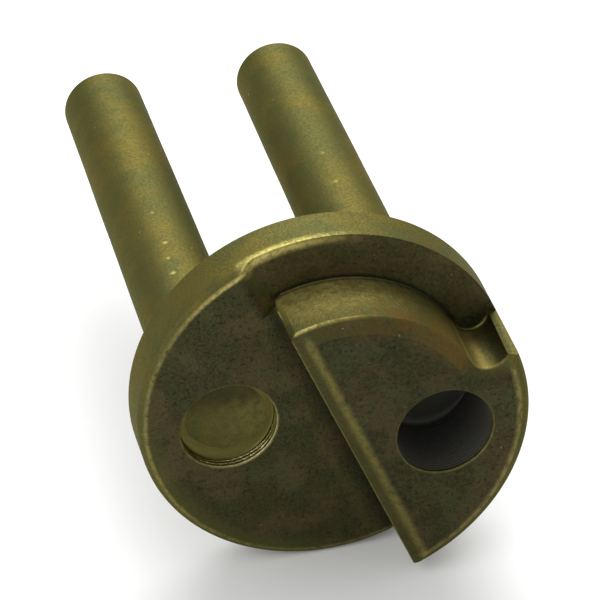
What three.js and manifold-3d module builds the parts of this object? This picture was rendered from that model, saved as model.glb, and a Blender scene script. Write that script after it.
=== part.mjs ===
// Two-pin electrode holder: a turned and milled brass head, two round pins brazed into it from
// behind, and the ring of brazing alloy that shows round the front end of each pin.
//
// Frame: millimetres. The origin is the centre of the head's flat back face. +X runs along the line
// of the two pins towards the raised block, +Y runs along the pins away from the working face, and
// +Z is up. So the head's working side faces -Y, and a "level" is a distance in front of the back
// face, at y = -level.
import * as THREE from "three";
import { mergeVertices } from "three/addons/utils/BufferGeometryUtils.js";
import Module from "manifold-3d";

// ---- Driving dimensions -------------------------------------------------------------------------

// Head: a round blank with three levels on its working side.
const headRadius = 15.875;
const floorLevel = 4.55; // the plain half, round the left pin
const ledgeLevel = 3.75; // the crescent ledge milled round the raised block
const blockLevel = 10.2; // the top of the raised block, round the right pin
// Edge breaks, each as its width across the face and its height along the wall.
const backBreak = { width: 0.3, height: 0.3 };
const floorBreak = { width: 0.55, height: 0.4 };
const blockRimBreak = { width: 0.95, height: 0.5 };
const blockWallBreak = { width: 1.3, height: 0.8 };

// Raised block: a half disc, cut along a chord and stepped in from the rim by the ledge.
const chordTurn = THREE.MathUtils.degToRad(21.5); // the chord's normal, up from +X
const chordOffset = 0.1; // the chord, from the head's centre along that normal
const ledgeWidth = 3.9; // the ledge, from the rim in to the block's wall, were it central
const millShift = 0.5; // the centre of the block's round wall, right of the head's centre
const millDrop = 0.35; // and below it
const stepRun = 1.3; // the sloping step from the floor down to the ledge

// Scoop: where the ledge's end mill stopped, low on the block's right side. The lip left beside it
// is filed to a plane that falls away a little towards the working face.
const scoopRadius = 1.55;
const scoopTurn = THREE.MathUtils.degToRad(27.3); // the mill's last centre, up from +X
const lipDrop = 0.05; // at the ledge, below the mill's last centre
const lipLean = THREE.MathUtils.degToRad(3.5);

// Pins: round rods, pushed into through bores from the back. They are straight in the head and draw
// in a little towards their far ends.
const pinRadius = 3.97;
const pinTipRadius = 3.72;
const pinSpacing = 16.88;
const pinPairShift = 0.1; // the middle of the pair, right of the head's centre
const pinPairDrop = 0.83; // and below it
const pinReach = { left: 48.3, right: 49 }; // behind the back face
const pinSeat = 3.2; // inside the head
const pinBackChamfer = 0.45;
const pinFrontChamfer = 0.5; // with the bore's wall, the groove that takes the alloy

// Joints between pins and head.
const brazeGap = 0.1; // radial clearance that the alloy is drawn into
const ringClearance = 0.03; // between the alloy ring and the metal on either side of it

// Facets round a full turn. A pin, its bore and its ring share one number, so their flats line up.
const headFacets = 144;
const pinFacets = 64;
const scoopFacets = 32;

// Tools reach this far past the blank, so that no cut ends on a face.
const toolOverrun = 5;

// ---- Values that follow -------------------------------------------------------------------------

const insetRadius = headRadius - ledgeWidth;
const scoopOrbit = insetRadius + scoopRadius;
const scoopX = millShift + scoopOrbit * Math.cos(scoopTurn);
const scoopZ = -millDrop + scoopOrbit * Math.sin(scoopTurn);
const boreRadius = pinRadius + brazeGap;
const pinPlaces = {
  left: { x: pinPairShift - pinSpacing / 2, z: -pinPairDrop },
  right: { x: pinPairShift + pinSpacing / 2, z: -pinPairDrop },
};

// ---- Booleans -----------------------------------------------------------------------------------

const wasm = await Module();
wasm.setup();

function toSolid(geometry) {
  const bare = geometry.clone();
  bare.deleteAttribute("normal");
  bare.deleteAttribute("uv");
  const merged = mergeVertices(bare, 1e-5);
  return new wasm.Manifold(
    new wasm.Mesh({
      numProp: 3,
      vertProperties: new Float32Array(merged.attributes.position.array),
      triVerts: new Uint32Array(merged.index.array),
    }),
  );
}

function toGeometry(solid) {
  const mesh = solid.getMesh();
  const geometry = new THREE.BufferGeometry();
  geometry.setAttribute("position", new THREE.BufferAttribute(mesh.vertProperties, 3));
  geometry.setIndex(new THREE.BufferAttribute(mesh.triVerts, 1));
  geometry.computeVertexNormals();
  return geometry;
}

// ---- Shapes that the head is made of ------------------------------------------------------------

// A disc from the back face to a level, with both its edges broken.
function disc(level, frontBreak) {
  const profile = [
    new THREE.Vector2(0, -level),
    new THREE.Vector2(headRadius - frontBreak.width, -level),
    new THREE.Vector2(headRadius, -level + frontBreak.height),
    new THREE.Vector2(headRadius, -backBreak.height),
    new THREE.Vector2(headRadius - backBreak.width, 0),
    new THREE.Vector2(0, 0),
  ];
  return toSolid(new THREE.LatheGeometry(profile, headFacets));
}

// An outline drawn in the plane of the working face, swept from the back face to a level, with its
// front edge broken where that is asked for. (The matching break falls behind the back face.)
function plate(outline, level, edgeBreak = { width: 0, height: 0 }) {
  const geometry = new THREE.ExtrudeGeometry(new THREE.Shape(outline), {
    depth: level - edgeBreak.height,
    bevelEnabled: edgeBreak.height > 0,
    bevelSegments: 1,
    bevelSize: edgeBreak.width,
    bevelOffset: -edgeBreak.width,
    bevelThickness: edgeBreak.height,
  });
  geometry.rotateX(Math.PI / 2);
  return toSolid(geometry);
}

// A round bore through the whole head at a pin.
function bore({ x, z }) {
  const length = blockLevel + 2 * toolOverrun;
  const geometry = new THREE.CylinderGeometry(boreRadius, boreRadius, length, pinFacets);
  geometry.translate(x, -blockLevel / 2, z);
  return toSolid(geometry);
}

// ---- The chord ----------------------------------------------------------------------------------

const chordNormal = new THREE.Vector2(Math.cos(chordTurn), Math.sin(chordTurn));
const chordRun = new THREE.Vector2(-Math.sin(chordTurn), Math.cos(chordTurn));

// A rectangle beside the chord, by its distances from it, on the block's side, and along it, upwards.
function besideChord(nearer, further, lower, upper) {
  const corner = (across, along) =>
    new THREE.Vector2()
      .addScaledVector(chordNormal, chordOffset + across)
      .addScaledVector(chordRun, along);
  return [corner(nearer, lower), corner(further, lower), corner(further, upper), corner(nearer, upper)];
}

// ---- Head ---------------------------------------------------------------------------------------

// The tools flare past the block's wall, which breaks its top edge.
const flareHeight = 2 * blockWallBreak.height;
const flareWidth = 2 * blockWallBreak.width;

// The ring that the end mill sweeps round the block.
function ledgeSweep() {
  const outerRadius = headRadius + toolOverrun;
  const breakLevel = blockLevel - blockWallBreak.height;
  const profile = [
    new THREE.Vector2(insetRadius, -ledgeLevel),
    new THREE.Vector2(insetRadius, -breakLevel),
    new THREE.Vector2(insetRadius - flareWidth, -breakLevel - flareHeight),
    new THREE.Vector2(outerRadius, -breakLevel - flareHeight),
    new THREE.Vector2(outerRadius, -ledgeLevel),
    new THREE.Vector2(insetRadius, -ledgeLevel),
  ];
  const ring = toSolid(new THREE.LatheGeometry(profile, headFacets).translate(millShift, 0, -millDrop));
  const reach = 2 * outerRadius;
  const pivot = new THREE.Vector2(millShift, -millDrop);
  const scoopEdge = new THREE.Vector2(scoopX, scoopZ).sub(pivot).setLength(reach).add(pivot);
  const wedge = [pivot, scoopEdge, new THREE.Vector2(0, reach), new THREE.Vector2(-reach, reach)];
  return ring.intersect(plate(wedge, blockLevel + flareHeight));
}

// The mill in its last place.
function scoopMill() {
  const breakRise = blockLevel - blockWallBreak.height - ledgeLevel;
  const profile = [
    new THREE.Vector2(0, -breakRise - flareHeight),
    new THREE.Vector2(scoopRadius + flareWidth, -breakRise - flareHeight),
    new THREE.Vector2(scoopRadius, -breakRise),
    new THREE.Vector2(scoopRadius, 0),
    new THREE.Vector2(0, 0),
  ];
  const geometry = new THREE.LatheGeometry(profile, scoopFacets);
  geometry.translate(scoopX, -ledgeLevel, scoopZ);
  return toSolid(geometry);
}

// The file that takes the lip down, from the mill's centre out past the rim.
function lipFile() {
  const width = headRadius + toolOverrun - scoopX;
  const depth = blockLevel - ledgeLevel + toolOverrun;
  const geometry = new THREE.BoxGeometry(width, depth, headRadius);
  geometry.translate(scoopX + width / 2, -depth / 2, headRadius / 2);
  geometry.rotateX(lipLean);
  geometry.translate(0, -ledgeLevel, scoopZ - lipDrop);
  return toSolid(geometry);
}

// The ledge's own floor stays whole under the leaning file.
function ledgeTools() {
  const size = 2 * (headRadius + toolOverrun);
  const aboveLedge = new THREE.BoxGeometry(size, size, size);
  aboveLedge.translate(0, -ledgeLevel - size / 2, 0);
  return ledgeSweep().add(scoopMill()).add(lipFile()).intersect(toSolid(aboveLedge));
}

// The raised block, cut from a full-height blank.
function makeBlock() {
  const reach = headRadius + toolOverrun;
  const blockSide = plate(besideChord(0, 2 * reach, -reach, reach), blockLevel, blockWallBreak);
  return disc(blockLevel, blockRimBreak).intersect(blockSide).subtract(ledgeTools());
}

// The plain floor slopes down to the ledge above the block, and runs square up to the block's wall.
function makeFloor() {
  const reach = headRadius + toolOverrun;
  const pivot = new THREE.Vector2(millShift, -millDrop);
  const pivotAcross = pivot.dot(chordNormal) - chordOffset;
  const wallTop = pivot.dot(chordRun) + Math.sqrt(insetRadius ** 2 - (stepRun - pivotAcross) ** 2);
  const slope = { width: stepRun, height: floorLevel - ledgeLevel };
  const sloped = plate(besideChord(-2 * reach, 0, -reach, reach), floorLevel, slope);
  const square = plate(besideChord(-2 * stepRun, stepRun, -reach, wallTop), floorLevel);
  return disc(floorLevel, floorBreak).intersect(sloped.add(square));
}

function makeHead() {
  const whole = disc(ledgeLevel, floorBreak).add(makeFloor()).add(makeBlock());
  return whole.subtract(bore(pinPlaces.left)).subtract(bore(pinPlaces.right));
}

// ---- Pins and brazing rings ---------------------------------------------------------------------

// A pin, along +Y from its front end inside the head to its chamfered far end.
function pinGeometry(reach) {
  const profile = [
    new THREE.Vector2(0, -pinSeat),
    new THREE.Vector2(pinRadius - pinFrontChamfer, -pinSeat),
    new THREE.Vector2(pinRadius, -pinSeat + pinFrontChamfer),
    new THREE.Vector2(pinRadius, 0),
    new THREE.Vector2(pinTipRadius, reach - pinBackChamfer),
    new THREE.Vector2(pinTipRadius - pinBackChamfer, reach),
    new THREE.Vector2(0, reach),
  ];
  return new THREE.LatheGeometry(profile, pinFacets);
}

// The alloy ring that fills the groove between a pin's front chamfer and the wall of its bore, flush
// with the pin's end.
function brazeRingGeometry() {
  const outer = boreRadius - ringClearance;
  const inner = pinRadius - pinFrontChamfer + 2 * ringClearance;
  const profile = [
    new THREE.Vector2(inner, -pinSeat),
    new THREE.Vector2(outer, -pinSeat),
    new THREE.Vector2(outer, -pinSeat + outer - inner),
    new THREE.Vector2(inner, -pinSeat),
  ];
  return new THREE.LatheGeometry(profile, pinFacets);
}

// ---- Assembly -----------------------------------------------------------------------------------

const headBrass = new THREE.MeshStandardMaterial({ color: 0x6b5f2c, roughness: 0.45, metalness: 1 });
const pinBrass = new THREE.MeshStandardMaterial({ color: 0x8a7d3a, roughness: 0.4, metalness: 1 });
const brazeAlloy = new THREE.MeshStandardMaterial({ color: 0x9c8b4a, roughness: 0.35, metalness: 1 });

function part(name, geometry, material, place = { x: 0, z: 0 }) {
  const mesh = new THREE.Mesh(geometry, material.clone());
  mesh.name = name;
  mesh.position.set(place.x, 0, place.z);
  return mesh;
}

const holder = new THREE.Group();
holder.name = "electrode_holder";
holder.add(part("head", toGeometry(makeHead()), headBrass));
for (const side of ["left", "right"]) {
  holder.add(part(`pin_${side}`, pinGeometry(pinReach[side]), pinBrass, pinPlaces[side]));
  holder.add(part(`braze_ring_${side}`, brazeRingGeometry(), brazeAlloy, pinPlaces[side]));
}

export default holder;
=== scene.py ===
from math import atan2, ceil, cos, degrees, exp, hypot, pi, radians, sin, sqrt, tan

import bmesh
import bpy
from mathutils import Matrix, Vector, noise


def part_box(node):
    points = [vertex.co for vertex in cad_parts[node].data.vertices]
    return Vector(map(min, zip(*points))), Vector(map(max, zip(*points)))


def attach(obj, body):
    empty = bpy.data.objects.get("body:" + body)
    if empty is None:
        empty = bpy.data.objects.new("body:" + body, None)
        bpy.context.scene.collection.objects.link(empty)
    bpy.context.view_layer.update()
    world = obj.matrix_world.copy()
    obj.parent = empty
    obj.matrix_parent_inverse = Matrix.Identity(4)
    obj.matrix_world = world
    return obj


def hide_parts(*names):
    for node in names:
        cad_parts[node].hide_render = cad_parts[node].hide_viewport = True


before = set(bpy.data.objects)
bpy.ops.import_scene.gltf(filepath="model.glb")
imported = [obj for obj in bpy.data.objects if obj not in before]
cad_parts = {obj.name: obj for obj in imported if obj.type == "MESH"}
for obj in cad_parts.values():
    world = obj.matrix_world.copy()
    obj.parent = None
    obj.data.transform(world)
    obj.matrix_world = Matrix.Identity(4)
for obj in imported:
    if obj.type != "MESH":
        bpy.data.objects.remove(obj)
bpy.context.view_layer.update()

# Lengths are millimetres until a piece is finished. +X runs along the two pins towards the raised
# block, +Y along the pins away from the working face, and +Z up. A level is a distance in front of
# the head's back face, at y = -level.
MM = 0.001

# ---- Sizes --------------------------------------------------------------------------------------

HEAD_LOW, HEAD_HIGH = [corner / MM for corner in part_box("head")]
HEAD_RADIUS = HEAD_HIGH.x
BLOCK_LEVEL = -HEAD_LOW.y
FLOOR_LEVEL = 4.55
LEDGE_LEVEL = 3.75

# Edge breaks, each as its width across the face and its height along the wall, and then the
# radii to which the corners of a break, or of the block, have worn.
BACK_BREAK = (0.3, 0.3)
RIM_BREAK = (0.55, 0.4)
BLOCK_RIM_BREAK = (0.95, 0.5)
BLOCK_WALL_BREAK = (1.3, 0.8)
MOUTH_BREAK = (0.14, 0.12)
SCOOP_BREAK = (2.6, 1.6)
RIM_ROUND = 0.5
BLOCK_ROUND = 0.28
MOUTH_ROUND = 0.1
POST_ROUND = 0.75

# The raised block's straight wall lies along a chord of the head. On CHORD_PLACE, X is across the
# chord towards the block and Z is along it.
CHORD_TURN = radians(21.5)
CHORD_OFFSET = 0.1
CHORD_PLACE = Matrix.Rotation(-CHORD_TURN, 4, "Y") @ Matrix.Translation((CHORD_OFFSET, 0, 0))
BREAK_LEVEL = BLOCK_LEVEL - BLOCK_WALL_BREAK[1]

# The ledge milled round the block, and the slope that joins the floor to it.
LEDGE_WIDTH = 3.9
LEDGE_END = radians(135)
INSET_RADIUS = HEAD_RADIUS - LEDGE_WIDTH
STEP_RUN = 1.3
STEP_ROUND = 2
CORNER_FILLET = 0.18

# The middle of the block's round wall is a little off the head's own. WALL_TOP is how far up the
# chord that wall crosses the line where the floor's square side ends.
MILL_MIDDLE = Vector((0.5, 0, -0.35))
MILL_PLACE = Matrix.Translation(MILL_MIDDLE)
MILL_ON_CHORD = CHORD_PLACE.inverted() @ MILL_MIDDLE
WALL_TOP = MILL_ON_CHORD.z + sqrt(INSET_RADIUS**2 - (STEP_RUN - MILL_ON_CHORD.x) ** 2)

# The scoop where the ledge's end mill stopped, and the lip filed down beside it.
SCOOP_RADIUS = 1.55
SCOOP_TURN = radians(27.3)
SCOOP_ORBIT = INSET_RADIUS + SCOOP_RADIUS
SCOOP_X = MILL_MIDDLE.x + SCOOP_ORBIT * cos(SCOOP_TURN)
SCOOP_Z = MILL_MIDDLE.z + SCOOP_ORBIT * sin(SCOOP_TURN)
LIP_DROP = 0.05
LIP_LEAN = radians(3.5)

# Pins. A rod is true for a short way behind the back face. Past that it has swells, each set with a
# height and a size, and a shift between the two rods makes them differ.
PIN_FRONT_CHAMFER = 0.5
PIN_BACK_CHAMFER = 0.45
PIN_TIP_DRAW = 0.25
PIN_CORNER_ROUND = 0.3
PIN_TRUE_LENGTH = 0.5
PIN_SWELLS = [(0.02, 7), (0.006, 1.3)]
SWELL_SHIFT = 3

# The bores, and the drill's marks on their open walls.
BORE_GAP = 0.1
TOOL_MARK_PITCH = 0.33
TOOL_MARK_DEPTH = 0.06

# Brazing alloy. It is thin at the top, and thick where it ran down to, a little past the bottom.
# Its spread is how far it goes at the top and how much further at the bottom, in parts of its
# reach. The waves on its inner edge are how many go round, where they start and how high they are.
ALLOY_RISE = 0.45
ALLOY_REACH = 0.62
ALLOY_SKIN = 0.006
ALLOY_RUN_TURN = 0.2
ALLOY_THIN = 0.25
ALLOY_SPREAD = (0.95, 0.75)
ALLOY_WAVES = [(5, 1.1, 0.144), (9, 0, 0.09), (17, 2, 0.054)]

# How finely the shapes are cut up.
HEAD_FACETS = 240
BORE_FACETS = 128
PIN_FACETS = 128
ROUND_STEPS = 5
MARK_STEPS = 6
PIN_ROW = 0.3

# Tools reach OVERRUN past the metal. Where an outline would lie in a face it stands off by a HAIR,
# and past an edge that it breaks or rounds it goes on for a SHOULDER. Corners closer than WELD are
# one, and an edge that turns by more than SHARP_ANGLE stays sharp.
OVERRUN = 5
REACH = HEAD_RADIUS + OVERRUN
SHOULDER = 0.4
HAIR = 0.0006
WELD = 0.0002
SHARP_ANGLE = radians(32)


class Pin:
    """A pin's place and sizes, read from its node."""

    def __init__(self, node):
        low, high = [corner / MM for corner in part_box(node)]
        self.x = (low.x + high.x) / 2
        self.z = (low.z + high.z) / 2
        self.radius = (high.x - low.x) / 2
        self.seat = -low.y
        self.reach = high.y
        self.bore = self.radius + BORE_GAP
        self.place = Matrix.Translation((self.x, 0, self.z))


PINS = {side: Pin(f"pin_{side}") for side in ("left", "right")}
MOUTH_LEVEL = {"left": FLOOR_LEVEL, "right": BLOCK_LEVEL}

# Dents on the pins: how far behind the back face, the angle round the pin up from +X, and the size.
# Then a dent's depth, and its width round the pin, in parts of its size.
DENTS = {
    "left": [(23.0, 95, 0.26), (18.0, 94, 0.28), (15.6, 98, 0.24), (13.3, 99, 0.3), (9.5, 128, 0.2)],
    "right": [(28.2, 95, 0.26), (23.3, 96, 0.28), (28.0, 71, 0.2), (36.0, 80, 0.2)],
}
DENT_DEPTH = 0.4
DENT_WIDTH = 1.5

# ---- Outlines and solids ------------------------------------------------------------------------


def rounded(*corners):
    """The outline through these corners, each given as (across, y, radius of its round)."""
    points = [Vector(corner[:2]) for corner in corners]
    befores = points[-1:] + points[:-1]
    afters = points[1:] + points[:1]
    outline = []
    for corner, before, after, (_, _, radius) in zip(points, befores, afters, corners):
        if not radius:
            outline.append(corner)
            continue
        to_before = (before - corner).normalized()
        to_after = (after - corner).normalized()
        half_angle = to_before.angle(to_after) / 2
        centre = corner + (to_before + to_after).normalized() * radius / sin(half_angle)
        reach = radius / tan(half_angle)
        first = corner + to_before * reach - centre
        last = corner + to_after * reach - centre
        turns = [first.slerp(last, step / ROUND_STEPS) for step in range(ROUND_STEPS + 1)]
        outline += [centre + turn * radius for turn in turns]
    return outline


def flare(wall, lean, level, edge, wear):
    """The far end of a tool's outline: it leaves a wall and flares over the edge that it breaks."""
    width, height = edge
    shoulder = wall + lean * (width + SHOULDER)
    return [
        (wall, -level + height, wear),
        (wall + lean * width, -level, wear),
        (shoulder, -level - HAIR, 0),
        (shoulder, -level - OVERRUN, 0),
    ]


def solid(name, shape):
    """Closes a shape and makes it an object, with its faces pointing out."""
    bmesh.ops.remove_doubles(shape, verts=shape.verts, dist=WELD)
    bmesh.ops.recalc_face_normals(shape, faces=shape.faces)
    mesh = bpy.data.meshes.new(name)
    shape.to_mesh(mesh)
    shape.free()
    piece = bpy.data.objects.new(name, mesh)
    bpy.context.scene.collection.objects.link(piece)
    return piece


def placed(name, shape, place):
    """Moves a shape to its place and makes it an object."""
    bmesh.ops.transform(shape, matrix=place, verts=shape.verts)
    return solid(name, shape)


def turned_shape(outline, facets, closed=False, row=None):
    """A shape turned about the Y axis from its outline of (radius, y), with long runs cut in rows."""
    shape = bmesh.new()
    verts = [shape.verts.new((radius, y, 0)) for radius, y in outline]
    nexts = verts[1:] + verts[:1] if closed else verts[1:]
    edges = [shape.edges.new(pair) for pair in zip(verts, nexts)]
    if row:
        for edge in edges:
            cuts = ceil(edge.calc_length() / row) - 1
            if cuts > 0:
                bmesh.ops.subdivide_edges(shape, edges=[edge], cuts=cuts)
    wire = shape.verts[:] + shape.edges[:]
    bmesh.ops.spin(
        shape, geom=wire, cent=(0, 0, 0), axis=(0, 1, 0), angle=2 * pi, steps=facets, use_merge=True
    )
    bmesh.ops.remove_doubles(shape, verts=shape.verts, dist=WELD)
    bmesh.ops.recalc_face_normals(shape, faces=shape.faces)
    return shape


def turned(name, outline, facets=HEAD_FACETS, place=Matrix.Identity(4)):
    """A solid turned about an axis along Y from its outline of (radius, y)."""
    return placed(name, turned_shape(outline, facets), place)


def swept(name, outline, start, end, place):
    """A solid swept about an axis along Y between two angles up from +X, from its outline."""
    shape = bmesh.new()
    face = shape.faces.new([shape.verts.new((radius, y, 0)) for radius, y in outline])
    steps = round(HEAD_FACETS * (end - start) / (2 * pi))
    bmesh.ops.spin(
        shape, geom=[face], cent=(0, 0, 0), axis=(0, -1, 0), angle=end - start, steps=steps
    )
    return placed(name, shape, place @ Matrix.Rotation(-start, 4, "Y"))


def drawn_out(name, corners, along):
    """A solid drawn out along a vector from the corners of a flat face, given on the chord."""
    shape = bmesh.new()
    face = shape.faces.new([shape.verts.new(corner) for corner in corners])
    drawn = bmesh.ops.extrude_face_region(shape, geom=[face])["geom"]
    far = [item for item in drawn if isinstance(item, bmesh.types.BMVert)]
    bmesh.ops.translate(shape, verts=far, vec=along)
    return placed(name, shape, CHORD_PLACE)


def bar(name, outline, lower, upper):
    """A bar that lies along the chord between two places on it, from its outline of (across, y)."""
    corners = [(across, y, lower) for across, y in outline]
    return drawn_out(name, corners, (0, 0, upper - lower))


def combine(base, operation, *tools):
    """Joins the tools to the base, or cuts them from it, one after another."""
    for tool in tools:
        change = base.modifiers.new(tool.name, "BOOLEAN")
        change.operation = operation
        change.solver = "MANIFOLD"
        change.object = tool
    settled = bpy.data.meshes.new_from_object(
        base.evaluated_get(bpy.context.evaluated_depsgraph_get())
    )
    base.modifiers.clear()
    base.data = settled
    for tool in tools:
        bpy.data.objects.remove(tool)
    return base


# ---- Head ---------------------------------------------------------------------------------------


def disc(level, edge, wear):
    """A round blank from the back face to a level, with both its edges broken."""
    outline = rounded(
        (0, -level, 0),
        (HEAD_RADIUS - edge[0], -level, wear),
        (HEAD_RADIUS, -level + edge[1], wear),
        (HEAD_RADIUS, -BACK_BREAK[1], BACK_BREAK[1] / 2),
        (HEAD_RADIUS - BACK_BREAK[0], 0, BACK_BREAK[0] / 2),
        (0, 0, 0),
    )
    return turned("disc", outline)


def chord_cutter():
    """Takes away all of a blank on the plain side of the chord."""
    outline = rounded(
        (0, OVERRUN, 0),
        *flare(0, 1, BLOCK_LEVEL, BLOCK_WALL_BREAK, BLOCK_ROUND),
        (-2 * REACH, -BLOCK_LEVEL - OVERRUN, 0),
        (-2 * REACH, OVERRUN, 0),
    )
    return bar("chord_cutter", outline, -REACH, REACH)


def ledge_cutter():
    """The ring that the end mill sweeps round the block, from the scoop to past the chord."""
    outline = rounded(
        (INSET_RADIUS, -LEDGE_LEVEL, CORNER_FILLET),
        *flare(INSET_RADIUS, -1, BLOCK_LEVEL, BLOCK_WALL_BREAK, BLOCK_ROUND),
        (REACH, -BLOCK_LEVEL - OVERRUN, 0),
        (REACH, -LEDGE_LEVEL, 0),
    )
    return swept("ledge_cutter", outline, SCOOP_TURN, LEDGE_END, MILL_PLACE)


def post_cutter():
    """Rounds the upright corner between the block's straight wall and its inset wall."""
    corner = MILL_ON_CHORD.z + INSET_RADIUS
    outline = rounded(
        (-OVERRUN, corner - POST_ROUND - HAIR, 0),
        (-HAIR, corner - POST_ROUND - HAIR, 0),
        (0, corner, POST_ROUND),
        (POST_ROUND + HAIR, corner + HAIR, 0),
        (POST_ROUND + HAIR, corner + OVERRUN, 0),
        (-OVERRUN, corner + OVERRUN, 0),
    )
    start = SHOULDER - LEDGE_LEVEL
    corners = [(across, start, along) for across, along in outline]
    return drawn_out("post_cutter", corners, (0, -BLOCK_LEVEL - OVERRUN - start, 0))


def scoop_cutter():
    """The end mill in its last place, which widens above the foot of the block's break."""
    rise = BREAK_LEVEL - LEDGE_LEVEL
    width, height = SCOOP_BREAK
    outline = rounded(
        (0, -rise - height, 0),
        (SCOOP_RADIUS + width, -rise - height, 0),
        (SCOOP_RADIUS, -rise, BLOCK_ROUND),
        (SCOOP_RADIUS, 0, CORNER_FILLET),
        (0, 0, 0),
    )
    place = Matrix.Translation((SCOOP_X, -LEDGE_LEVEL, SCOOP_Z))
    return turned("scoop_cutter", outline, BORE_FACETS, place)


def lip_cutter():
    """The file that takes the lip down, from the scoop's middle out past the rim."""
    size = Vector((REACH - SCOOP_X, BLOCK_LEVEL - LEDGE_LEVEL + OVERRUN, HEAD_RADIUS))
    corner = Matrix.Translation((SCOOP_X, -LEDGE_LEVEL, SCOOP_Z - LIP_DROP))
    lean = Matrix.Rotation(LIP_LEAN, 4, "X")
    middle = Matrix.Translation((size.x / 2, -size.y / 2, size.z / 2))
    shape = bmesh.new()
    bmesh.ops.create_cube(shape, size=1, matrix=corner @ lean @ middle @ Matrix.Diagonal((*size, 1)))
    return solid("lip_cutter", shape)


def make_floor():
    """The plain side, which slopes down to the ledge above the block and runs square up to it below."""
    slope = rounded(
        (-STEP_RUN - SHOULDER, -FLOOR_LEVEL - HAIR, 0),
        (-STEP_RUN, -FLOOR_LEVEL, STEP_ROUND),
        (0, -LEDGE_LEVEL, STEP_ROUND),
        (SHOULDER, -LEDGE_LEVEL + HAIR, 0),
        (REACH, -LEDGE_LEVEL + HAIR, 0),
        (REACH, -FLOOR_LEVEL - OVERRUN, 0),
        (-STEP_RUN - SHOULDER, -FLOOR_LEVEL - OVERRUN, 0),
    )
    square = [
        (STEP_RUN, -LEDGE_LEVEL + HAIR),
        (REACH, -LEDGE_LEVEL + HAIR),
        (REACH, -FLOOR_LEVEL - OVERRUN),
        (STEP_RUN, -FLOOR_LEVEL - OVERRUN),
    ]
    sloping_cutter = bar("sloping_cutter", slope, WALL_TOP - POST_ROUND, REACH)
    square_cutter = bar("square_cutter", square, -REACH, WALL_TOP + STEP_RUN)
    blank = disc(FLOOR_LEVEL, RIM_BREAK, RIM_ROUND)
    return combine(blank, "DIFFERENCE", square_cutter, sloping_cutter)


def make_block():
    """The raised block, cut from a full-height blank."""
    blank = disc(BLOCK_LEVEL, BLOCK_RIM_BREAK, RIM_ROUND)
    walls = (chord_cutter(), ledge_cutter(), post_cutter())
    return combine(blank, "DIFFERENCE", *walls, scoop_cutter(), lip_cutter())


def foot_fillet():
    """The round left by the cutter's corner where the block's straight wall meets the floor."""
    arm = 3 * CORNER_FILLET
    outline = rounded(
        (-arm, -FLOOR_LEVEL + HAIR, 0),
        (HAIR, -FLOOR_LEVEL + HAIR, CORNER_FILLET),
        (HAIR, -FLOOR_LEVEL - arm, 0),
        (CORNER_FILLET, -FLOOR_LEVEL - arm, 0),
        (CORNER_FILLET, -FLOOR_LEVEL + CORNER_FILLET, 0),
        (-arm, -FLOOR_LEVEL + CORNER_FILLET, 0),
    )
    rim = HEAD_RADIUS - RIM_BREAK[0]
    lower = -sqrt(rim**2 - arm**2)
    return bar("foot_fillet", outline, lower, WALL_TOP - POST_ROUND)


def drill_marks(side):
    """The length of a bore's open wall, and how many times the drill's marks go round it."""
    marked = MOUTH_LEVEL[side] - MOUTH_BREAK[1] - MOUTH_ROUND - PINS[side].seat
    return marked, round(marked / TOOL_MARK_PITCH)


def bore_cutter(side):
    """A through bore, with its broken mouth and the drill's marks on its open wall."""
    pin = PINS[side]
    level = MOUTH_LEVEL[side]
    marked, marks = drill_marks(side)
    steps = marks * MARK_STEPS
    wall = []
    for step in range(steps + 1):
        turn = 2 * pi * step / MARK_STEPS
        depth = TOOL_MARK_DEPTH * (1 - cos(turn)) / 2
        wall.append((pin.bore + depth, -pin.seat - marked * step / steps, 0))
    outline = rounded(
        (0, OVERRUN, 0),
        (pin.bore, OVERRUN, 0),
        *wall,
        *flare(pin.bore, 1, level, MOUTH_BREAK, MOUTH_ROUND),
        (0, -level - OVERRUN, 0),
    )
    return turned(f"bore_{side}", outline, BORE_FACETS, pin.place)


def make_head():
    """The head: everything that stands on the ledge's level, bored right through."""
    base = disc(LEDGE_LEVEL, RIM_BREAK, RIM_ROUND)
    combine(base, "UNION", make_floor(), make_block(), foot_fillet())
    return combine(base, "DIFFERENCE", bore_cutter("left"), bore_cutter("right"))


# ---- Pins and alloy -----------------------------------------------------------------------------


def make_pin(side):
    """A drawn rod with worn ends, a surface that isn't quite true, and a few dents."""
    pin = PINS[side]
    tip = pin.radius - PIN_TIP_DRAW
    outline = rounded(
        (0, -pin.seat, 0),
        (pin.radius - PIN_FRONT_CHAMFER, -pin.seat, 0),
        (pin.radius, -pin.seat + PIN_FRONT_CHAMFER, 0),
        (pin.radius, 0, 0),
        (tip, pin.reach - PIN_BACK_CHAMFER, PIN_CORNER_ROUND),
        (tip - PIN_BACK_CHAMFER, pin.reach, PIN_CORNER_ROUND),
        (0, pin.reach, 0),
    )
    shape = turned_shape(outline, PIN_FACETS, row=PIN_ROW)
    for vert in shape.verts:
        if vert.co.y < PIN_TRUE_LENGTH or hypot(vert.co.x, vert.co.z) < tip / 2:
            continue
        outward = Vector((vert.co.x, 0, vert.co.z)).normalized()
        place = vert.co + Vector((pin.x * SWELL_SHIFT, 0, 0))
        rise = sum(height * noise.noise(place / size) for height, size in PIN_SWELLS)
        angle = degrees(atan2(vert.co.z, vert.co.x))
        for along, turn, size in DENTS[side]:
            across = radians(angle - turn) * pin.radius
            away = hypot(across / (DENT_WIDTH * size), (vert.co.y - along) / size)
            rise -= DENT_DEPTH * size * exp(-(away**2))
        vert.co += outward * rise
    return placed(f"pin_{side}_rod", shape, pin.place)


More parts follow.
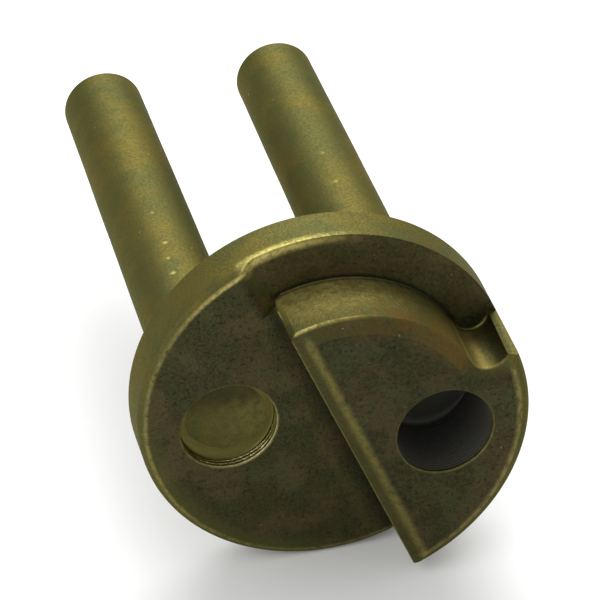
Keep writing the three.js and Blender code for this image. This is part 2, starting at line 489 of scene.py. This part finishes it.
def make_alloy(side):
    """Brazing alloy: a wavy meniscus in front of the pin, and the film drawn in round it."""
    pin = PINS[side]
    wall = pin.bore - ALLOY_SKIN
    rod = pin.radius + ALLOY_SKIN
    crest = []
    for step in range(ROUND_STEPS + 1):
        turn = pi / 2 * step / ROUND_STEPS
        crest.append((wall - ALLOY_REACH * (1 - cos(turn)), -pin.seat - ALLOY_RISE * (1 - sin(turn))))
    outline = [
        *crest,
        (wall - ALLOY_REACH, -pin.seat + ALLOY_SKIN),
        (rod, -pin.seat + PIN_FRONT_CHAMFER),
        (rod, -BACK_BREAK[1] / 2),
        (wall, -BACK_BREAK[1] / 3),
    ]
    shape = turned_shape(outline, PIN_FACETS, closed=True)
    for vert in shape.verts:
        if vert.co.y > -pin.seat + 2 * ALLOY_SKIN:
            continue
        turn = atan2(vert.co.z, vert.co.x)
        low = max(0, -sin(turn + ALLOY_RUN_TURN)) ** 2
        wave = sum(height * sin(count * turn + start) for count, start, height in ALLOY_WAVES)
        spread = max(1, ALLOY_SPREAD[0] + (ALLOY_SPREAD[1] + wave) * low)
        radius = hypot(vert.co.x, vert.co.z)
        moved = wall - (wall - radius) * spread
        vert.co.x *= moved / radius
        vert.co.z *= moved / radius
        thickness = ALLOY_THIN + (1 - ALLOY_THIN) * low
        vert.co.y = (vert.co.y + pin.seat) * thickness - pin.seat
    return placed(f"braze_{side}", shape, pin.place)


# ---- Shader arithmetic --------------------------------------------------------------------------


class Field:
    """A number or a colour that varies over a surface. Arithmetic on numbers adds Math nodes."""

    def __init__(self, finish, socket):
        self.finish = finish
        self.socket = socket

    def math(self, operation, first, second):
        return self.finish.node("ShaderNodeMath", {"operation": operation}, {0: first, 1: second})

    def __add__(self, other):
        return self.math("ADD", self, other)

    def __sub__(self, other):
        return self.math("SUBTRACT", self, other)

    def __mul__(self, other):
        return self.math("MULTIPLY", self, other)

    def __pow__(self, other):
        return self.math("POWER", self, other)

    def __rsub__(self, other):
        return self.math("SUBTRACT", other, self)

    __radd__ = __add__
    __rmul__ = __mul__


def distance(across, along):
    return (across * across + along * along) ** 0.5


class Finish:
    """A material as it is put together. Its fields are measured in millimetres."""

    def __init__(self, name):
        self.material = bpy.data.materials.new(name)
        self.material.use_nodes = True
        self.tree = self.material.node_tree
        self.shader = self.tree.nodes["Principled BSDF"]
        self.shader.inputs["Specular Tint"].default_value = EDGE_TINT
        surface = self.node("ShaderNodeTexCoord", output="Object")
        self.point = self.node(
            "ShaderNodeVectorMath", {"operation": "SCALE"}, {0: surface, "Scale": 1 / MM}
        )
        split = {"Vector": self.point}
        self.x = self.node("ShaderNodeSeparateXYZ", sockets=split, output=0)
        self.y = self.node("ShaderNodeSeparateXYZ", sockets=split, output=1)
        self.z = self.node("ShaderNodeSeparateXYZ", sockets=split, output=2)

    def feed(self, socket, value):
        if isinstance(value, Field):
            self.tree.links.new(value.socket, socket)
        else:
            socket.default_value = value

    def node(self, kind, settings=None, sockets=None, output=0):
        """Adds any node: its settings first, then its sockets' values or links."""
        node = self.tree.nodes.new(kind)
        for name, value in (settings or {}).items():
            setattr(node, name, value)
        for name, value in (sockets or {}).items():
            self.feed(node.inputs[name], value)
        return Field(self, node.outputs[output])

    def noise(self, size, detail, roughness, stretch=None):
        """Noise between 0 and 1 with features of about this size, longer where a stretch is under 1."""
        place = self.point
        if stretch:
            place = self.node(
                "ShaderNodeMapping", {"vector_type": "POINT"}, {"Vector": place, "Scale": stretch}
            )
        sockets = {"Vector": place, "Scale": 1 / size, "Detail": detail, "Roughness": roughness}
        return self.node("ShaderNodeTexNoise", sockets=sockets)

    def ramp(self, value, low, high):
        """0 at low and 1 at high, with a soft turn at both ends. Low may be the larger."""
        sockets = {"Value": value, "From Min": low, "From Max": high}
        return self.node("ShaderNodeMapRange", {"interpolation_type": "SMOOTHSTEP"}, sockets)

    def patches(self, size, low, high, detail=3, roughness=0.6, stretch=None):
        """Soft patches of about this size: 0 where the noise is low, and 1 where it is high."""
        return self.ramp(self.noise(size, detail, roughness, stretch), low, high)

    def glow(self, first, second, width):
        """A soft line along an edge: 1 where both distances are nothing, and 0 this far away."""
        return self.ramp(distance(first, second), width, 0)

    def larger(self, first, second):
        return self.node("ShaderNodeMath", {"operation": "MAXIMUM"}, {0: first, 1: second})

    def mix(self, amount, under, over):
        """A colour that goes from under to over as the amount goes from 0 to 1."""
        sockets = {"Factor": amount, 6: under, 7: over}
        return self.node("ShaderNodeMix", {"data_type": "RGBA"}, sockets, output=2)

    def bump(self, height, depth, under=None):
        """A normal from a height between 0 and 1, for a relief of this depth."""
        sockets = {"Height": height, "Distance": depth * MM, "Strength": 1.0}
        if under:
            sockets["Normal"] = under
        return self.node("ShaderNodeBump", sockets=sockets)

    def done(self, **sockets):
        for name, value in sockets.items():
            self.feed(self.shader.inputs[name.replace("_", " ")], value)
        return self.material


# ---- Finishes -----------------------------------------------------------------------------------

EDGE_TINT = (0.62, 0.61, 0.5, 1)
DARK_FACE = (0.042, 0.0395, 0.0195, 1)
BROWN_FACE = (0.074, 0.056, 0.029, 1)
GREEN_FACE = (0.06, 0.065, 0.029, 1)
OLIVE_SIDE = (0.094, 0.093, 0.029, 1)
WARM_SIDE = (0.126, 0.106, 0.027, 1)
GREEN_SIDE = (0.074, 0.084, 0.03, 1)
RUST_TINT = (0.14, 0.074, 0.018, 1)
# Painted light for the lit left side of the scoop's wall.
SCOOP_LIGHT = (0.24, 0.19, 0.058, 1)
# Pale olive, for wear along the block's straight edge and for painted light on the left rod's front
# end.
WORN_AND_LIT_OLIVE = (0.19, 0.165, 0.05, 1)
# Painted light on the left bore's open wall.
LIT_DRILLED_WALL = (0.34, 0.3, 0.11, 1)
# Painted shade deep in the right socket.
SOCKET_SHADE = (0.043, 0.042, 0.036, 1)
# Bright brass, for burnish where handling wore the metal and for painted highlights and painted light.
BURNISH_AND_HIGHLIGHT = (0.62, 0.53, 0.17, 1)
GLINT = (0.95, 0.88, 0.6, 1)
# Near black, for pits in the faces' grain and for painted shade and shadow.
SOOT_AND_SHADE = (0.012, 0.012, 0.0095, 1)

# How much of the metal the painted shade deep in the right socket hides.
SOCKET_SHADE_COVER = 0.9

# The middle of the lip's front corner, where a painted highlight sits.
GLINT_X = SCOOP_X + SCOOP_RADIUS + 0.15
GLINT_Z = SCOOP_Z - LIP_DROP - 0.42

# The rim just above the step, round which the worn edges are brightened further with a painted
# highlight, and how far that reaches.
STEP_RIM_X = -5.2
STEP_RIM_Z = 14.8
SHEEN_REACH = 10


def weathered_sides(finish):
    """The olive skin on turned walls and rods, with warm and greenish clouds and fine speckle."""
    colour = finish.mix(finish.patches(5.5, 0.42, 0.66, 3, 0.55), OLIVE_SIDE, WARM_SIDE)
    colour = finish.mix(finish.patches(3.1, 0.5, 0.72) * 0.8, colour, GREEN_SIDE)
    speckle = finish.patches(0.2, 0.35, 0.7, 3, 0.75)
    return finish.mix(speckle * 0.35, colour, BROWN_FACE)


def tarnished_and_shaded_faces(finish):
    """The dark skin on the faces that point forwards: brown and green clouds over a mottled grain. Its
    darkness is partly tarnish and partly painted shade for faces turned from the light.
    """
    colour = finish.mix(finish.patches(3.6, 0.44, 0.62, 4), DARK_FACE, BROWN_FACE)
    colour = finish.mix(finish.patches(5.2, 0.52, 0.66) * 0.8, colour, GREEN_FACE)
    grain = finish.patches(0.24, 0.42, 0.66, 3, 0.75)
    colour = finish.mix(grain * 0.5, colour, OLIVE_SIDE)
    pits = finish.patches(0.38, 0.46, 0.32, 2)
    return finish.mix(pits * 0.55, colour, SOOT_AND_SHADE)


class HeadMap:
    """Where things are on the head: distances as fields, and masks that are 1 in their place."""

    def __init__(self, finish):
        self.level = finish.y * -1
        self.radius = distance(finish.x, finish.z)
        self.across = finish.x * cos(CHORD_TURN) + finish.z * sin(CHORD_TURN) - CHORD_OFFSET
        right = finish.x - MILL_MIDDLE.x
        above = finish.z - MILL_MIDDLE.z
        self.from_wall = distance(right, above) - INSET_RADIUS
        self.from_scoop = distance(finish.x - SCOOP_X, finish.z - SCOOP_Z) - SCOOP_RADIUS
        self.from_glint = distance(finish.x - GLINT_X, finish.z - GLINT_Z)
        self.from_bore = {
            side: distance(finish.x - pin.x, finish.z - pin.z) - pin.bore for side, pin in PINS.items()
        }

        facing = finish.node("ShaderNodeTexCoord", output="Normal")
        forward = finish.node("ShaderNodeSeparateXYZ", sockets={"Vector": facing}, output=1) * -1
        self.front = finish.ramp(forward, 0.8, 0.97)
        above_scoop = finish.ramp(above * cos(SCOOP_TURN) - right * sin(SCOOP_TURN), -0.4, 0.6)
        block_side = finish.ramp(self.across, -0.5, 0.2)
        self.plain_side = 1 - block_side
        self.on_ledge = block_side * above_scoop
        self.on_block = block_side * (1 - above_scoop)
        # How near the step a point is, for the painted highlight there.
        from_step = distance(finish.x - STEP_RIM_X, finish.z - STEP_RIM_Z)
        self.near_step = finish.ramp(from_step, SHEEN_REACH, 1)


def rim_wear_and_sheen(finish, place):
    """Where handling has burnished the head's rim, with a painted highlight added near the step."""
    rim = place.radius - HEAD_RADIUS
    floor_rim = finish.glow(rim + RIM_BREAK[0], place.level - FLOOR_LEVEL, 0.32)
    wear = floor_rim * place.plain_side * (0.3 + 0.7 * place.near_step) * 0.8
    ledge_rim = finish.glow(rim + 0.3, place.level - (LEDGE_LEVEL - 0.15), 0.7)
    wear = wear + ledge_rim * place.on_ledge * place.near_step
    slope_rim = finish.glow(rim + 0.3, place.across + STEP_RUN / 2, 1.1) * (1 - place.on_block)
    slope_rim = slope_rim * finish.ramp(place.level, LEDGE_LEVEL - 0.8, LEDGE_LEVEL - 0.1)
    wear = wear + slope_rim * place.near_step * 0.6
    block_rim = finish.glow(rim + BLOCK_RIM_BREAK[0], place.level - BLOCK_LEVEL, 0.45)
    return wear + block_rim * place.on_block * 0.22


def edge_wear_and_glints(finish, place):
    """Where the block's edges, the scoop and the bores' mouths are burnished, with a painted highlight
    on the lip's corner.
    """
    below_break = place.level - BREAK_LEVEL
    wear = finish.glow(place.across, below_break, 0.16) * 0.36
    wall_foot = finish.glow(place.from_wall, below_break, 0.3)
    # Near the step, the worn foot of the wall also takes a painted highlight.
    wear = wear + wall_foot * place.on_ledge * place.near_step * 0.9
    scoop_edge = finish.glow(place.from_scoop, below_break, 0.24)
    wear = wear + scoop_edge * finish.ramp(finish.z, SCOOP_Z - 0.6, SCOOP_Z - 1.2) * 0.2
    scoop_foot = finish.glow(place.from_scoop, place.level - LEDGE_LEVEL, 0.26)
    scoop_foot = scoop_foot * finish.ramp(finish.x, SCOOP_X, SCOOP_X + 0.8)
    wear = wear + scoop_foot * finish.ramp(finish.z, SCOOP_Z, SCOOP_Z - 0.7) * 0.4
    # Painted highlight on the lip's front corner.
    wear = wear + finish.glow(place.from_glint, place.level - BLOCK_LEVEL + 0.2, 0.45) * 1.2
    for side, amount in (("left", 0.34), ("right", 0.14)):
        mouth = finish.glow(place.from_bore[side], place.level - MOUTH_LEVEL[side], 0.22)
        wear = wear + mouth * amount
    return wear


def ledge_skin(finish, place, colour):
    """The ledge is lifted with painted light, the wall over it is brightened with painted light, the
    block's break has gone like rust, and the crease at the wall's foot has painted shade.
    """
    break_band = finish.ramp(place.from_wall, -2.2, -0.7) * place.on_ledge
    rust = break_band * finish.ramp(place.level, FLOOR_LEVEL, BLOCK_LEVEL - 1)
    rust = rust * finish.ramp(finish.x, -4, 6) * finish.patches(1.4, 0.3, 0.6)
    colour = finish.mix(rust * 0.5, colour, RUST_TINT)
    # Painted light: the ledge's face is lifted towards a warm colour where it sits in shade.
    lit_ledge = place.on_ledge * finish.ramp(place.level, LEDGE_LEVEL + 0.5, LEDGE_LEVEL + 0.1)
    colour = finish.mix(lit_ledge * place.front * 0.12, colour, WARM_SIDE)
    # Painted light on the inset wall over the ledge, strongest at its left end where the light falls,
    # in uneven patches.
    wall = place.on_ledge * finish.ramp(place.level, BLOCK_LEVEL - 1, LEDGE_LEVEL + 0.5)
    wall = wall * finish.ramp(place.radius, HEAD_RADIUS - 0.6, HEAD_RADIUS - 1.6) * (1 - place.front)
    wall = wall * finish.ramp(place.level, LEDGE_LEVEL - 0.3, LEDGE_LEVEL - 0.1)
    worn = 0.45 + 0.4 * finish.patches(0.6, 0.35, 0.65, 3, 0.65)
    colour = finish.mix(wall * worn * finish.ramp(finish.x, 11, 0), colour, BURNISH_AND_HIGHLIGHT)
    # Painted shade in the crease where the ledge meets the block's wall.
    crease = finish.glow(place.from_wall - 0.1, place.level - LEDGE_LEVEL, 0.5)
    return finish.mix(crease * place.on_ledge * 0.85, colour, SOOT_AND_SHADE)


def scoop_skin(finish, place, colour):
    """The scoop's wall: painted light, warm, on the left, and painted shade on the right."""
    wall = finish.ramp(place.from_scoop, 0.6, 0.2) * (1 - place.front)
    wall = wall * finish.ramp(place.level, LEDGE_LEVEL + 0.1, LEDGE_LEVEL + 0.6)
    wall = wall * finish.ramp(place.level, BREAK_LEVEL + 0.1, BREAK_LEVEL)
    # Painted light on the left side of the scoop's wall, which faces the light.
    warm = wall * finish.ramp(finish.x, SCOOP_X + 0.3, SCOOP_X - 0.5)
    colour = finish.mix(warm, colour, SCOOP_LIGHT)
    # Painted shade on the right side of the scoop's wall, turned away from the light.
    dark = wall * finish.ramp(finish.x, SCOOP_X + 0.25, SCOOP_X + 1)
    return finish.mix(dark * 0.42, colour, SOOT_AND_SHADE)


def face_skin(finish, place, colour):
    """The working faces: a darker block, a stained and streaked floor, and painted shadow along the
    foot of the block's wall.
    """
    raised = finish.ramp(place.level, FLOOR_LEVEL + 2, FLOOR_LEVEL + 4) * place.front
    colour = finish.mix(raised * 0.26, colour, SOOT_AND_SHADE)
    plain_floor = place.plain_side * place.front
    stain = finish.ramp(place.radius, HEAD_RADIUS - 2.6, HEAD_RADIUS - 0.9) * plain_floor
    stain = stain * finish.ramp(finish.x + finish.z, -12, -19)
    colour = finish.mix(stain * 0.55, colour, OLIVE_SIDE)
    streak = finish.glow(place.across + 2.1, place.level - FLOOR_LEVEL, 0.6) * place.plain_side
    colour = finish.mix(streak * finish.patches(1.2, 0.35, 0.65, 2, 0.5) * 0.35, colour, OLIVE_SIDE)
    # Painted shadow cast by the block's wall on the floor beside its foot.
    foot = finish.ramp(place.level, FLOOR_LEVEL + 0.6, FLOOR_LEVEL) * plain_floor
    return finish.mix(foot * finish.ramp(place.across, -1.6, -0.1) * 0.55, colour, SOOT_AND_SHADE)


def bore_masks(finish, place):
    """The left bore's open wall, the painted glints on the drill's marks at its lower right, and the
    deep part of the right bore's wall, where painted shade goes.
    """
    drilled = finish.ramp(place.from_bore["left"], 0.2, 0.1)
    drilled = drilled * finish.ramp(place.level, FLOOR_LEVEL - 0.05, FLOOR_LEVEL - 0.2)
    marked, marks = drill_marks("left")
    turns = (place.level - PINS["left"].seat) * (2 * pi * marks / marked)
    ring_glints = finish.node("ShaderNodeMath", {"operation": "SINE"}, {0: turns})
    ring_glints = finish.ramp(ring_glints, 0.1, 0.9) * drilled * finish.ramp(finish.x - finish.z, -8.5, -4.5)
    deep = finish.ramp(place.from_bore["right"], 0.2, 0.1)
    return drilled, ring_glints, deep * finish.ramp(place.level, BLOCK_LEVEL - 0.1, BLOCK_LEVEL - 0.8)


def head_finish():
    """The head's finish, from its skins to the wear, painted light and painted shade over them and the
    walls of its bores.
    """
    finish = Finish("weathered_head_brass")
    place = HeadMap(finish)
    faces = tarnished_and_shaded_faces(finish)
    # Faces that point forwards take the darker skin: partly tarnish, partly painted shade.
    colour = finish.mix(place.front, weathered_sides(finish), faces)
    # The breaks of the block's walls take the same darker skin, also partly painted shade.
    broken = finish.ramp(place.level, BREAK_LEVEL, BREAK_LEVEL + 0.15) * (1 - place.front)
    broken = broken * finish.ramp(place.radius, HEAD_RADIUS - 0.9, HEAD_RADIUS - 1.3)
    colour = finish.mix(broken * 0.6, colour, faces)
    colour = ledge_skin(finish, place, colour)
    colour = scoop_skin(finish, place, colour)
    colour = face_skin(finish, place, colour)

    uneven = finish.patches(0.5, 0.28, 0.62, 3, 0.65)
    from_chord_edge = place.across - BLOCK_WALL_BREAK[0] + 0.15
    chord_edge = finish.glow(from_chord_edge, place.level - BLOCK_LEVEL, 0.7)
    colour = finish.mix(chord_edge * (0.35 + 0.55 * uneven), colour, WORN_AND_LIT_OLIVE)
    # Painted glints of tiny pits, scattered at random.
    speck_glints = finish.patches(0.33, 0.79, 0.84, 1, 0.5)
    # Real wear, with painted highlights near the step and on the lip; the specks add painted glints.
    wear = rim_wear_and_sheen(finish, place) + edge_wear_and_glints(finish, place)
    wear = finish.larger(wear * (0.25 + 0.75 * uneven), speck_glints * 0.35)
    colour = finish.mix(wear, colour, BURNISH_AND_HIGHLIGHT)

    drilled, ring_glints, deep = bore_masks(finish, place)
    # Painted light on the left bore's open wall.
    colour = finish.mix(drilled * 0.85, colour, LIT_DRILLED_WALL)
    # Painted glints on the drill's marks.
    colour = finish.mix(ring_glints, colour, GLINT)
    # Painted shade deep in the right socket.
    colour = finish.mix(deep, colour, SOCKET_SHADE)

    grain = finish.patches(0.2, 0.3, 0.75, 3, 0.65)
    roughness = 0.5 + 0.16 * grain - 0.2 * wear - 0.2 * drilled - 0.2 * ring_glints
    relief = finish.bump(finish.noise(0.3, 4, 0.7), 0.07)
    relief = finish.bump(finish.noise(2.2, 2, 0.5), 0.03, relief)
    metal = 1 - SOCKET_SHADE_COVER * deep
    return finish.done(Base_Color=colour, Metallic=metal, Roughness=roughness, Normal=relief)


def pin_finish():
    """The rods' finish. Inside the block's deep socket the right rod's end gets painted shade, dark and
    less metallic.
    """
    finish = Finish("weathered_pin_brass")
    colour = weathered_sides(finish)
    bands = finish.patches(2.6, 0.5, 0.75, 2, 0.5, stretch=(0.5, 1.6, 0.5))
    colour = finish.mix(bands * 0.3, colour, WARM_SIDE)
    # Painted highlights where the rods' dents catch the light.
    dent_glints = 0
    for side, pin in PINS.items():
        for along, turn, size in DENTS[side]:
            across = pin.radius * cos(radians(turn))
            spot = (pin.x + across, along, pin.z + pin.radius * sin(radians(turn)))
            sockets = {0: finish.point, 1: spot}
            away = finish.node("ShaderNodeVectorMath", {"operation": "DISTANCE"}, sockets, "Value")
            dent_glints = dent_glints + finish.ramp(away, 1.3 * size, 0.3 * size)
    colour = finish.mix(dent_glints * 0.42, colour, BURNISH_AND_HIGHLIGHT)

    # The left rod's front end gets painted light low on the right, and painted shadow above a ragged
    # line.
    left = PINS["left"]
    front_end = finish.ramp(finish.y * -1, left.seat - 0.6, left.seat - 0.1)
    # Painted light on the lower right of the front end.
    worn = finish.ramp(finish.x, left.x - 3, left.x + 3.5) * finish.patches(0.6, 0.3, 0.6)
    colour = finish.mix(front_end * worn * 0.5, colour, WORN_AND_LIT_OLIVE)
    # Painted shadow from the mouth's upper edge on the top of the front end.
    ragged = finish.z + 1.6 * finish.noise(1.1, 3, 0.6)
    shaded = finish.ramp(ragged, left.z + 0.9, left.z + 3.1)
    colour = finish.mix(front_end * shaded * 0.55, colour, SOOT_AND_SHADE)
    # Painted shade on the right rod's end, deep in the socket.
    socket_shade = front_end * finish.ramp(finish.x, -1, 1)
    colour = finish.mix(socket_shade, colour, SOCKET_SHADE)

    grain = finish.patches(0.25, 0.35, 0.75)
    # Painted glints of tiny pits, scattered at random.
    speck_glints = finish.patches(0.4, 0.79, 0.83, 1, 0.5)
    colour = finish.mix(speck_glints * 0.5, colour, BURNISH_AND_HIGHLIGHT)
    roughness = 0.56 + 0.14 * grain - 0.1 * speck_glints
    relief = finish.bump(finish.noise(0.35, 3, 0.65), 0.04)
    relief = finish.bump(finish.noise(1.6, 2, 0.5), 0.03, relief)
    metal = 1 - SOCKET_SHADE_COVER * socket_shade
    return finish.done(Base_Color=colour, Metallic=metal, Roughness=roughness, Normal=relief)


def alloy_finish():
    """Brazing alloy with the rods' colours, with the same painted shade in the deep socket as all else
    there.
    """
    finish = Finish("brazing_alloy")
    clouds = finish.patches(0.8, 0.35, 0.7)
    colour = finish.mix(clouds, OLIVE_SIDE, WARM_SIDE)
    depth = PINS["right"].seat + finish.y
    # Painted shade on the alloy deep in the right socket.
    socket_shade = finish.ramp(finish.x, -1, 1) * finish.ramp(depth, 1.2, 0.2)
    colour = finish.mix(socket_shade, colour, SOCKET_SHADE)
    roughness = 0.4 + 0.12 * clouds
    relief = finish.bump(finish.noise(0.35, 2, 0.5), 0.03)
    metal = 1 - SOCKET_SHADE_COVER * socket_shade
    return finish.done(Base_Color=colour, Metallic=metal, Roughness=roughness, Normal=relief)


# ---- Finishing a piece --------------------------------------------------------------------------


def finish_piece(piece, name, material, node):
    """Scales a piece to metres, settles its shading, and hands it to the frame."""
    shape = bmesh.new()
    shape.from_mesh(piece.data)
    bmesh.ops.remove_doubles(shape, verts=shape.verts, dist=WELD)
    bmesh.ops.scale(shape, vec=(MM, MM, MM), verts=shape.verts)
    for edge in shape.edges:
        edge.smooth = edge.calc_face_angle(0) < SHARP_ANGLE
    for face in shape.faces:
        face.smooth = True
    shape.to_mesh(piece.data)
    shape.free()
    piece.name = name
    piece.data.materials.clear()
    piece.data.materials.append(material)
    weigh = piece.modifiers.new("weigh_normals", "WEIGHTED_NORMAL")
    weigh.keep_sharp = True
    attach(piece, "root")
    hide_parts(node)


# ---- Stage --------------------------------------------------------------------------------------

# The stage is in metres. The camera looks at its aim from a distance, and is a little rolled.
CAMERA_AZIMUTH = radians(-13.05)
CAMERA_ELEVATION = radians(34.91)
CAMERA_ROLL = radians(2.02)
CAMERA_DISTANCE = 0.27313
CAMERA_AIM = Vector((-0.00094, 0.0, 0.00741))
CAMERA_LENS = 198.9
CAMERA_NEAR = 0.01

FLOOR_HALF = 1.5
PALE = (0.9, 0.9, 0.9, 1)
WHITE = (1, 1, 1, 1)
KEY_PLACE = Vector((0.1, 0.42, 0.46))
KEY_SIZE = 0.55
KEY_POWER = 4.2
FILL_PLACE = Vector((-0.5, -0.25, 0.35))
FILL_SIZE = 0.5
FILL_POWER = 1.2
SKY = 0.75


def make_camera():
    data = bpy.data.cameras.new("camera")
    data.lens = CAMERA_LENS
    data.clip_start = CAMERA_NEAR
    camera = bpy.data.objects.new("camera", data)
    bpy.context.scene.collection.objects.link(camera)
    turn = Matrix.Rotation(CAMERA_AZIMUTH, 4, "Z") @ Matrix.Rotation(pi / 2 - CAMERA_ELEVATION, 4, "X")
    roll = Matrix.Rotation(-CAMERA_ROLL, 4, "Z")
    back = Matrix.Translation((0, 0, CAMERA_DISTANCE))
    camera.matrix_world = Matrix.Translation(CAMERA_AIM) @ turn @ roll @ back
    bpy.context.scene.camera = camera


def make_light(name, place, size, power):
    """A round soft light that faces the origin."""
    data = bpy.data.lights.new(name, "AREA")
    data.shape = "DISK"
    data.size = size
    data.energy = power
    light = bpy.data.objects.new(name, data)
    light.location = place
    light.rotation_euler = place.to_track_quat("Z", "Y").to_euler()
    bpy.context.scene.collection.objects.link(light)


def make_stage():
    """The pale floor, which the head's rim rests on."""
    shape = bmesh.new()
    bmesh.ops.create_grid(shape, x_segments=1, y_segments=1, size=FLOOR_HALF)
    bmesh.ops.translate(shape, verts=shape.verts, vec=(0, 0, -HEAD_RADIUS * MM))
    stage = solid("studio_floor", shape)
    material = bpy.data.materials.new("pale_floor")
    material.use_nodes = True
    shader = material.node_tree.nodes["Principled BSDF"]
    shader.inputs["Base Color"].default_value = PALE
    shader.inputs["Roughness"].default_value = 0.9
    shader.inputs["Specular IOR Level"].default_value = 0.1
    stage.data.materials.append(material)


def make_sky():
    world = bpy.data.worlds.new("soft_sky")
    world.use_nodes = True
    background = world.node_tree.nodes["Background"]
    background.inputs["Color"].default_value = WHITE
    background.inputs["Strength"].default_value = SKY
    bpy.context.scene.world = world


# ---- Assembly -----------------------------------------------------------------------------------

make_camera()
make_sky()
make_light("key_light", KEY_PLACE, KEY_SIZE, KEY_POWER)
make_light("fill_light", FILL_PLACE, FILL_SIZE, FILL_POWER)
make_stage()
bpy.context.scene.view_settings.view_transform = "Standard"

finish_piece(make_head(), "head_body", head_finish(), "head")
rod_brass = pin_finish()
alloy = alloy_finish()
for side in PINS:
    finish_piece(make_pin(side), f"pin_{side}_rod", rod_brass, f"pin_{side}")
    finish_piece(make_alloy(side), f"braze_{side}", alloy, f"braze_ring_{side}")
